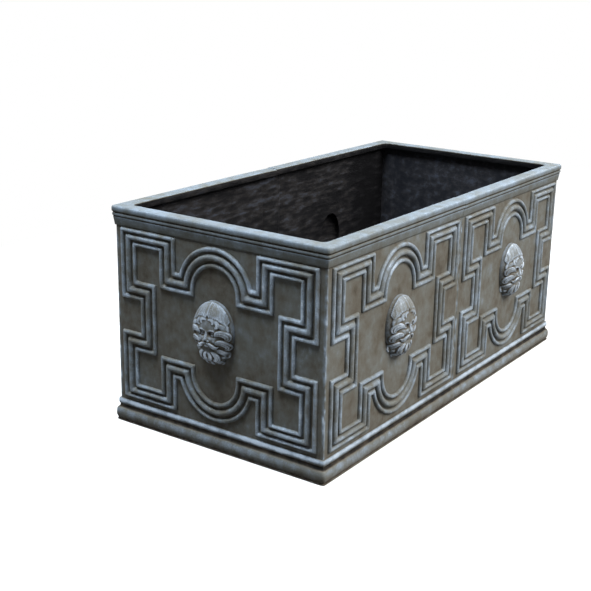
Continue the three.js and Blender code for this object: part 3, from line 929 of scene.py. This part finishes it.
def add_features(bm):
    """Eyes, lids, nose, lips and moustache."""
    place, eye_depth, level, size = EYE[:4]
    for side in (-1, 1):
        add_ball(bm, side * place, *EYE[1:])
        for rise, thick in LIDS:
            lid = []
            for i in range(LID_STEPS + 1):
                turn = math.pi * i / LID_STEPS
                across, up = -6.0 * math.cos(turn), rise * math.sin(turn) - 0.2
                front = math.sqrt(max(0, (size + 0.3) ** 2 - across ** 2 - up ** 2))
                lid.append((side * place + side * across, eye_depth + front, level + up))
            add_lock(bm, lid, [0.5] + [thick] * (LID_STEPS - 1) + [0.5])
        add_ball(bm, side * NOSTRIL[0], *NOSTRIL[1:])
        for ridge in (UPPER_LIP, LOWER_LIP, MOUSTACHE):
            add_ridge(bm, ridge, side)
        under = [(side * x, depth - 0.3, z - 3.2) for x, depth, z, _ in MOUSTACHE[2:6]]
        add_lock(bm, under, UNDER_LOCK_SIZES)
    add_ridge(bm, NOSE)


def add_hair(bm):
    """Locks combed over the crown to its edge, then the waves of the head and beard."""
    for i in range(CROWN_LOCKS):
        share = 2 * i / (CROWN_LOCKS - 1) - 1
        odd = noise.noise(Vector((0.83 * i, 4.7, 1.9)))
        ends = []
        for (spread, half_width, middle, rise), stray in ((CROWN_TOP, 0), (CROWN_EDGE, 3 * odd)):
            turn = math.radians(spread * share)
            ends.append((half_width * math.sin(turn), middle + (rise + stray) * math.cos(turn)))
        add_strand(bm, *ends, -3 * share, 2.2 + 0.5 * odd, 4.4 + 0.9 * odd)
    for x, z, length, hang in WAVES:
        for side in (-1, 1):
            push = noise.noise(Vector((0.37 * x, 0.37 * z, 3.1 * side)))
            add_wave(bm, side, x + push, z - push, length * (1 + 0.06 * push), hang + 5 * push)


def cavity(bm, passes):
    """How far each corner stands above the surface smoothed around it, in millimetres."""
    places = np.array([v.co for v in bm.verts])
    normals = np.array([v.normal for v in bm.verts])
    pairs = np.array([(e.verts[0].index, e.verts[1].index) for e in bm.edges])
    count = np.bincount(pairs.ravel(), minlength=len(places))[:, None]
    smooth = places.copy()
    ends = np.concatenate((pairs[:, 0], pairs[:, 1]))
    others = np.concatenate((pairs[:, 1], pairs[:, 0]))
    for _ in range(passes):
        total = [np.bincount(ends, smooth[others, axis], len(places)) for axis in range(3)]
        smooth = 0.5 * smooth + 0.5 * np.stack(total, 1) / count
    return ((places - smooth) * normals).sum(1)


def hollowed(bm):
    """Cuts the back flat and scoops it out."""
    scoop = bmesh.new()
    scoop_size = (MASK_WIDTH / 2 - MASK_SHELL, HOLLOW_DEPTH, MASK_HEIGHT / 2 - MASK_SHELL, 1)
    bmesh.ops.create_uvsphere(scoop, u_segments=48, v_segments=32, radius=1,
                              matrix=Matrix.Diagonal(scoop_size))
    behind = Matrix.Translation((0, 50 - MASK_SEAT, 0)) @ Matrix.Diagonal((400, 100, 400, 1))
    block = bmesh.new()
    bmesh.ops.create_cube(block, size=1, matrix=behind)
    head = loose_object("head", bm)
    tools = [loose_object("scoop", scoop), loose_object("block", block)]
    for tool in tools:
        cut = head.modifiers.new(tool.name, "BOOLEAN")
        cut.operation = "DIFFERENCE"
        cut.solver = "EXACT"
        cut.object = tool
    return worked(head, [head] + tools)


def mask():
    bm = model_masses()
    add_features(bm)
    add_hair(bm)
    bm = remeshed(bm)
    ease(bm)
    bm.normal_update()
    bm.verts.index_update()
    # Hollows painted darker and high places paler: wax in the hollows, painted shade and a painted
    # highlight
    heights = cavity(bm, CAVITY_PASSES)
    worn_and_shaded = bm.verts.layers.float.new("wear_and_shade")
    least, most = MASK_WEAR_AND_SHADE_RANGE
    for v, height in zip(bm.verts, heights):
        v[worn_and_shaded] = min(most, max(least, MASK_WEAR + WEAR_AND_SHADE_PER_MM * height))
        v.co.x = min(MASK_WIDTH / 2, max(-MASK_WIDTH / 2, v.co.x))
        v.co.y = max(-MASK_DEPTH, v.co.y)
        v.co.z = min(MASK_HEIGHT / 2, max(-MASK_HEIGHT / 2, v.co.z))
    bm = hollowed(bm)
    worn_and_shaded = bm.verts.layers.float["wear_and_shade"]
    for v in bm.verts:
        across = v.co.x / (MASK_WIDTH / 2 - MASK_SHELL)
        up = v.co.z / (MASK_HEIGHT / 2 - MASK_SHELL)
        if across ** 2 + up ** 2 + (v.co.y / HOLLOW_DEPTH) ** 2 < 1.02:
            v[worn_and_shaded] = BLACK_COATED
    bmesh.ops.translate(bm, verts=bm.verts, vec=(0, 0, MASK_CENTRE))
    return bm


mask_lead = lead("lead_effect_mask", (1.03, 1, 0.98), 0.44)
pattern_cast = mask()
for name, bay in BAYS.items():
    cast = pattern_cast.copy()
    finish(cast, "head_" + name, mask_lead, "mask_" + name, bay, brushed_black)
pattern_cast.free()


# ---------------------------------------------------------------------------
# Plinth
# Six lengths of moulding in filled resin, bonded round the foot of the panels: a big round on a
# short foot, a dark neck, and a small round. Its corners are rounded over.
# ---------------------------------------------------------------------------

SWEEP_STEP = 22
SWEEP_MIDDLE = 390
CORNER_STATIONS = [0, 0.6, 1.3, 2.2, 3.3, 4.8, 7, 10, 14, 22]
SEAM_STATIONS = [0, 0.7, 4, 12, 24]
SEAM_GROOVE = 0.7
SINK_REACH = 45
INWARD_DRIFT_LENGTH = 55
RISE_DRIFT_LENGTH = 70
# Below this height a length stands on the ground, so its height doesn't drift
GROUND_LEVEL = 60
PLINTH_CORNER = 0.85
PLINTH_DRIFT = 0.35

# The outline from the foot up: outward, height, and wear with painted light and shade
PLINTH_OUTLINE = [(JOINT_GAP, 0, 0.3), (7.3, 0, 0.35), (7.7, 0.8, 0.4), (7.5, 2.6, 0.35)]
PLINTH_OUTLINE += [(6.4, 3.5, 0.2)]
# Both rounds are painted paler toward their tops and darker toward their feet: a painted highlight
# and painted shade
PLINTH_OUTLINE += bead(4.4, 9.45, 4, 27.8, 16, 0.2, 0.64, 0.24)
PLINTH_OUTLINE += [(3.6, 28.5, 0.1), (2.5, 29.6, 0.06), (2.1, 31.6, 0.06), (1.9, 33.6, 0.08)]
PLINTH_OUTLINE += bead(1.2, 4.5, 34.6, 47.8, 12, 0.24, 0.92, 0.3)
PLINTH_OUTLINE += [(JOINT_GAP, 47.9, 0.4)]


def corner_shift(run, radius):
    """How far a rounded corner draws a line in, at a run from the mitre."""
    if radius <= 0 or run >= radius:
        return 0
    return radius * (1 - math.cos(math.acos(run / (radius * math.sqrt(2))) - math.pi / 4))


def moulding(outline, bay, rounding, drift, seed, sink=0.0):
    """A length of moulding with rounded mitres and grooved butt ends. Rounding gives the corner's
    radius at a distance outward, and sink lowers the piece at its butt end."""
    stations = []
    for is_left, is_mitred in ((True, bay[3]), (False, bay[4])):
        runs = CORNER_STATIONS if is_mitred else SEAM_STATIONS
        stations += [(run, is_left, is_mitred) for run in (runs if is_left else reversed(runs))]
        if is_left:
            count = round(SWEEP_MIDDLE / SWEEP_STEP)
            stations += [((i / count - 0.5) * SWEEP_MIDDLE, None, False) for i in range(count + 1)]
    sections = []
    for run, is_left, is_mitred in stations:
        section = []
        for outward, height, _ in outline:
            if is_left is None:
                x = run
                distance = PANEL_WIDTH / 2 - abs(run)
                toward_left = run < 0
            else:
                shift = corner_shift(run, rounding(outward)) if is_mitred else 0
                if not is_mitred and run == 0 and outward > 1:
                    outward -= SEAM_GROOVE
                outward -= shift
                distance = run
                x = end_at(is_mitred, outward) - run
                x = -x if is_left else x
                toward_left = is_left
            at_seam = not (bay[3] if toward_left else bay[4])
            low = sink * math.exp(-distance / SINK_REACH) if at_seam else 0
            inward = rise = 0
            if outward > 1:
                inward = drift * (0.5 + 0.5 * wander((x, height, 0), seed, INWARD_DRIFT_LENGTH))
            if height > GROUND_LEVEL:
                rise = 0.5 * drift * wander((x, 0, 0), seed + 4, RISE_DRIFT_LENGTH) - drift * 0.5
            section.append((x, -(outward - inward), height + rise - low))
        sections.append(section)
    return lofted(sections, [point[2] for point in outline])


def plinth_rounding(outward):
    return PLINTH_CORNER * outward


plinth_lead = lead("lead_effect_plinth", (1, 1, 1), 0.34)
for seed, (name, bay) in enumerate(BAYS.items()):
    foot = moulding(PLINTH_OUTLINE, bay, plinth_rounding, PLINTH_DRIFT, 90 + seed)
    finish(foot, "plinth_moulding_" + name, plinth_lead, "plinth_" + name, bay)


# ---------------------------------------------------------------------------
# Rim
# Six lengths of capping in filled resin, bonded over the panels: a swelling band, a bead, an
# undercut and a flat top 3 cm wide, worn pale, with a black lip turned down inside. The opening's
# corners are rounded, and the two lengths of a long side meet a little out of level.
# ---------------------------------------------------------------------------

RIM_OUTER_CORNER = 0.85
RIM_INNER_CORNER = 13
RIM_INNER_FROM = -16
RIM_DRIFT = 0.35
RIM_SINK = 1.1

# The outline from under the band over the top to the lip: outward, height, wear
RIM_OUTLINE = [(JOINT_GAP, 411, 0.1), (1.1, 411, 0.1), (2.0, 411.6, 0.5), (2.5, 413.5, 0.58)]
RIM_OUTLINE += [(3.1, 417.5, 0.62), (3.9, 422, 0.65), (4.6, 425.6, 0.7), (4.9, 427.6, 0.82)]
RIM_OUTLINE += [(4.7, 428.8, 0.25), (4.7, 429.6, 0.1)]
RIM_OUTLINE += bead(4.9, 6.6, 430.2, 436.2, 6, 0.3, 0.73)
RIM_OUTLINE += [(5.2, 437, 0.08), (5.4, 437.9, 0.08), (6.6, 438.6, 0.4), (7.2, 439.4, 0.57)]
RIM_OUTLINE += [(7.45, 441, 0.69), (7.5, 444, 0.73), (7.35, 446.2, 0.78), (6.7, 448, 0.78)]
RIM_OUTLINE += [(5.5, 449.3, 0.76), (3.6, 450, 0.74), (-2, 450, 0.73), (-9, 450, 0.72)]
RIM_OUTLINE += [(-16, 450, 0.73), (-19.6, 450, 0.75), (-21, 449.4, 0.75), (-21.8, 448.2, 0.46)]
LIP_OUTLINE = [(-22, 447), (-22, 437), (-21.6, 436.1), (-18.3, 436.1), (-18, 437), (-18, 445)]
LIP_OUTLINE += [(JOINT_GAP, 445)]
RIM_OUTLINE += [(outward, height, BLACK_COATED) for outward, height in LIP_OUTLINE]


def rim_rounding(outward):
    if outward > 0:
        return RIM_OUTER_CORNER * outward
    return RIM_INNER_CORNER if outward <= RIM_INNER_FROM else 0


rim_lead = lead("lead_effect_rim", (0.83, 0.85, 0.86), 0.5, mottling=1.1)
for seed, (name, bay) in enumerate(BAYS.items()):
    sink = RIM_SINK if name in ("front_right", "back_left") else 0
    cap = moulding(RIM_OUTLINE, bay, rim_rounding, RIM_DRIFT, 110 + seed, sink)
    # The lip's faces take the darkest black, as painted shade under the rim's inner edge
    finish(cap, "rim_cap_" + name, rim_lead, "rim_" + name, bay, wet_black_and_lip_shade)


# ---------------------------------------------------------------------------
# Studio
# A pale floor that looks white to the camera and keeps the trough's shadow, a large soft lamp
# high in front of the long side, weaker ones above and on the other sides, and a pale surround.
# ---------------------------------------------------------------------------

FLOOR_SIZE = 60
FLOOR_COLOUR = (0.8, 0.8, 0.8)
FLOOR_BOUNCE = (0.08, 0.08, 0.08)
SHADOW_STRENGTH = 0.5
FOOTPRINT = (0.42, 0.52)
SHADOW_REACH = (1.4, 3.0)
SURROUND_LIGHT = 0.09
# Place, size across, power in watts, colour
LAMPS = {
    "key": ((0.4, -2.9, 3.2), 2.2, 375, (1.0, 0.975, 0.94)),
    "overhead": ((0.5, 0.1, 3.3), 1.9, 40, (0.82, 0.92, 1.0)),
    "left": ((-1.35, 0.2, 3.45), 1.4, 205, (0.84, 0.92, 1.0)),
    "back": ((-0.5, 3.3, 2.3), 1.6, 110, (0.95, 0.97, 1.0)),
    "right": ((3.3, -0.3, 2.1), 1.6, 80, (0.95, 0.97, 1.0)),
}

scene = bpy.context.scene
floor_mesh = bpy.data.meshes.new("studio_floor")
floor_shape = bmesh.new()
bmesh.ops.create_grid(floor_shape, x_segments=1, y_segments=1, size=FLOOR_SIZE / 2)
floor_shape.to_mesh(floor_mesh)
floor_shape.free()
studio_floor = bpy.data.objects.new("studio_floor", floor_mesh)
scene.collection.objects.link(studio_floor)


def seen_directly(tree):
    """1 for what the camera, a reflection or glass sees straight, 0 for bounced light."""
    path = tree.nodes.new("ShaderNodeLightPath")
    seen = maths(tree, "MAXIMUM", path.outputs["Is Camera Ray"], path.outputs["Is Glossy Ray"])
    return maths(tree, "MAXIMUM", seen, path.outputs["Is Transmission Ray"])


def studio_paper():
    """White paper. It keeps a soft shadow round the trough, is dark under it, and is plain white
    further off."""
    material, tree, shader = new_material("studio_paper", 0.9)
    shader.inputs["Specular IOR Level"].default_value = 0
    seen = seen_directly(tree)
    tint = tree.nodes.new("ShaderNodeMix")
    tint.data_type = "RGBA"
    tint.inputs["A"].default_value = (*FLOOR_BOUNCE, 1)
    tint.inputs["B"].default_value = (*FLOOR_COLOUR, 1)
    tree.links.new(seen, tint.inputs["Factor"])
    tree.links.new(tint.outputs["Result"], shader.inputs["Base Color"])
    where = tree.nodes.new("ShaderNodeTexCoord")
    place = tree.nodes.new("ShaderNodeSeparateXYZ")
    tree.links.new(where.outputs["Object"], place.inputs[0])
    along = maths(tree, "ABSOLUTE", place.outputs["X"])
    across = maths(tree, "MULTIPLY", maths(tree, "ABSOLUTE", place.outputs["Y"]), 2)
    beside = levels(tree, maths(tree, "MAXIMUM", along, across), 0, 1 - SHADOW_STRENGTH, *FOOTPRINT)
    away = maths(tree, "SQRT", maths(tree, "ADD", maths(tree, "POWER", along, 2),
                                     maths(tree, "POWER", across, 2)))
    beyond = levels(tree, away, 0, SHADOW_STRENGTH, *SHADOW_REACH)
    white = tree.nodes.new("ShaderNodeEmission")
    blend = tree.nodes.new("ShaderNodeMixShader")
    share = maths(tree, "MULTIPLY", maths(tree, "ADD", beside, beyond), seen)
    tree.links.new(share, blend.inputs[0])
    tree.links.new(shader.outputs[0], blend.inputs[1])
    tree.links.new(white.outputs[0], blend.inputs[2])
    tree.links.new(blend.outputs[0], tree.nodes["Material Output"].inputs["Surface"])
    return material


studio_floor.data.materials.append(studio_paper())

world = bpy.data.worlds.new("studio")
scene.world = world
world.use_nodes = True
surround = world.node_tree.nodes["Background"]
surround.inputs["Color"].default_value = (1, 1, 1, 1)
brightness = levels(world.node_tree, seen_directly(world.node_tree), SURROUND_LIGHT, 1)
world.node_tree.links.new(brightness, surround.inputs["Strength"])

for name, (place, size, power, tint) in LAMPS.items():
    light = bpy.data.lights.new(name, "AREA")
    light.shape = "DISK"
    light.size = size
    light.energy = power
    light.color = tint
    lamp = bpy.data.objects.new(name, light)
    lamp.location = place
    lamp.rotation_euler = (-Vector(place)).to_track_quat("-Z", "Y").to_euler()
    scene.collection.objects.link(lamp)

scene.view_settings.view_transform = "Standard"


# ---------------------------------------------------------------------------
# Camera
# Where the photographer stood: a little above the trough, off its left end, with a normal lens.
# ---------------------------------------------------------------------------

IMAGE_SIZE = 591
FOCAL_PIXELS = 1130.1
CENTRE_PIXEL = (340, 285)
CAMERA_PLACE = Vector((-2.0627, -1.2874, 0.9502))
CAMERA_YAW = math.radians(57.09)
CAMERA_PITCH = math.radians(16.85)
CAMERA_ROLL = math.radians(1.64)
SENSOR = 36

forward = Vector((math.sin(CAMERA_YAW) * math.cos(CAMERA_PITCH),
                  math.cos(CAMERA_YAW) * math.cos(CAMERA_PITCH), -math.sin(CAMERA_PITCH)))
level_right = Vector((math.cos(CAMERA_YAW), -math.sin(CAMERA_YAW), 0))
level_up = level_right.cross(forward)
right = math.cos(CAMERA_ROLL) * level_right + math.sin(CAMERA_ROLL) * level_up
up = -math.sin(CAMERA_ROLL) * level_right + math.cos(CAMERA_ROLL) * level_up

lens = bpy.data.cameras.new("camera")
lens.sensor_width = SENSOR
lens.lens = FOCAL_PIXELS / IMAGE_SIZE * SENSOR
lens.shift_x = (IMAGE_SIZE / 2 - CENTRE_PIXEL[0]) / IMAGE_SIZE
lens.shift_y = (CENTRE_PIXEL[1] - IMAGE_SIZE / 2) / IMAGE_SIZE
camera = bpy.data.objects.new("camera", lens)
turned = Matrix((right, up, -forward)).transposed().to_4x4()
camera.matrix_world = Matrix.Translation(CAMERA_PLACE) @ turned
scene.collection.objects.link(camera)
scene.camera = camera
